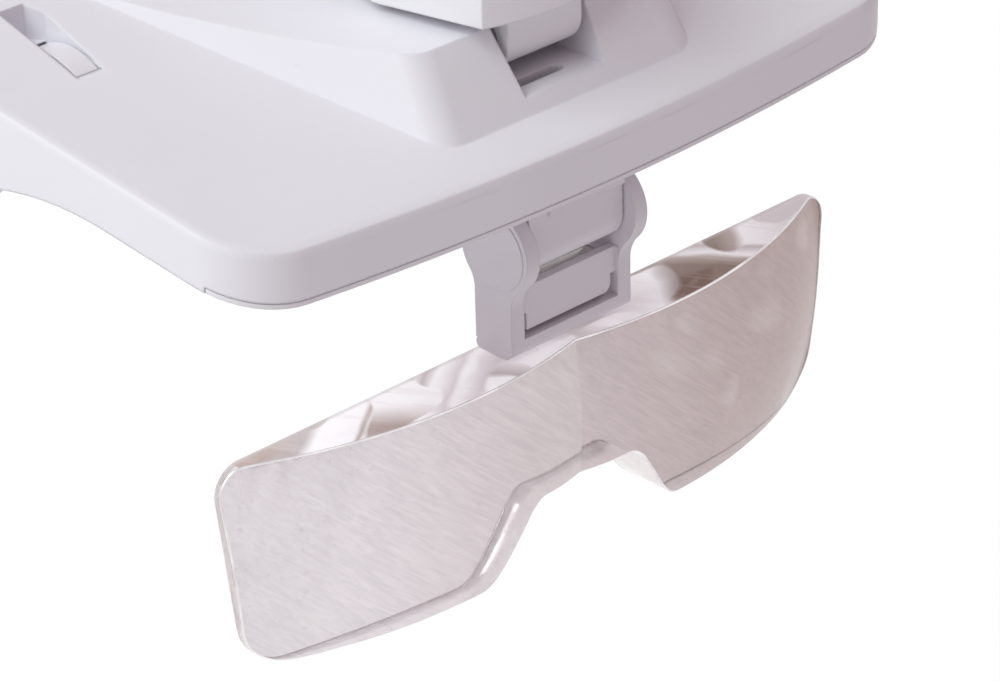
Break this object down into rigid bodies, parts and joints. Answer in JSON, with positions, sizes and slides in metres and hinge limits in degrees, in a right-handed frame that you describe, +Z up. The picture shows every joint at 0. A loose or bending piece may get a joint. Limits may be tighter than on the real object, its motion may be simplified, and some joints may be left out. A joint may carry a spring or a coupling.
{
  "type": "head-worn visor with flip-up clip-on lens",
  "caption": "Head-worn visor with a tilting lamp and a clear two-lobed lens plate clipped in a bracket that flips up on a hinge below the front edge.",
  "frame": {"origin": "midpoint between the two pivot discs, on the axis of the headband pivot bores", "axes": "+Z up as worn, -Y forward away from the wearer, +X to the wearer's left; the lens hangs upright at rest"},
  "size_m": [0.1472, 0.08, 0.094],
  "materials": {
    "white_abs": "satin moulded white ABS",
    "white_abs_satin": "fine textured white ABS",
    "hinge_white": "satin white acetal",
    "lamp_white": "smooth satin white ABS",
    "clear_acrylic": "clear moulded acrylic with a fine haze",
    "clear_window": "clear flat acrylic",
    "zinc_steel": "zinc plated",
    "axle_steel": "ground steel",
    "reflector_chrome": "vacuum metallised",
    "led_epoxy": "clear yellowish epoxy",
    "board_green": "solder mask",
    "cell_steel": "plated steel can",
    "contact_brass": "plated spring strip",
    "switch_grey": "matt grey",
    "dark_rubber": "matt"
  },
  "bodies": {
    "visor": {"visor_upper_shell": "white_abs", "visor_lower_cover": "white_abs_satin", "cover_screws": "zinc_steel", "pivot_discs": "white_abs_satin", "pivot_disc_screws": "zinc_steel", "flip_hinge_block": "hinge_white", "hinge_block_screws": "zinc_steel", "lamp_tilt_axle": "axle_steel"},
    "flip": {"flip_bracket": "hinge_white", "flip_axle": "axle_steel", "flip_friction_rings": "dark_rubber"},
    "lens": {"lens_plate": "clear_acrylic"},
    "lamp": {"lamp_lower_case": "lamp_white", "lamp_upper_case": "lamp_white", "lamp_window": "clear_window", "lamp_reflector": "reflector_chrome", "lamp_leds": "led_epoxy", "led_board": "board_green", "coin_cells": "cell_steel", "cell_contacts": "contact_brass", "lamp_case_screws": "zinc_steel", "tilt_washers": "dark_rubber"},
    "door": {"battery_door": "lamp_white"},
    "switch": {"switch_slider": "switch_grey"}
  },
  "joints": [
    {"name": "lens_flip", "type": "hinge", "parent": "visor", "child": "flip", "pos_m": [0, -0.0313, -0.0199], "axis": [-1, 0, 0], "range_deg": [0, 95]},
    {"name": "lens_slide", "type": "slide", "parent": "flip", "child": "lens", "axis": [0, 0, -1], "range_m": [0, 0.009]},
    {"name": "lamp_tilt", "type": "hinge", "parent": "visor", "child": "lamp", "pos_m": [0, -0.0265, 0.0055], "axis": [1, 0, 0], "range_deg": [0, 45]},
    {"name": "door_slide", "type": "slide", "parent": "lamp", "child": "door", "axis": [0, 1, 0], "range_m": [0, 0.012]},
    {"name": "switch_slide", "type": "slide", "parent": "lamp", "child": "switch", "axis": [1, 0, 0], "range_m": [0, 0.003]}
  ]
}
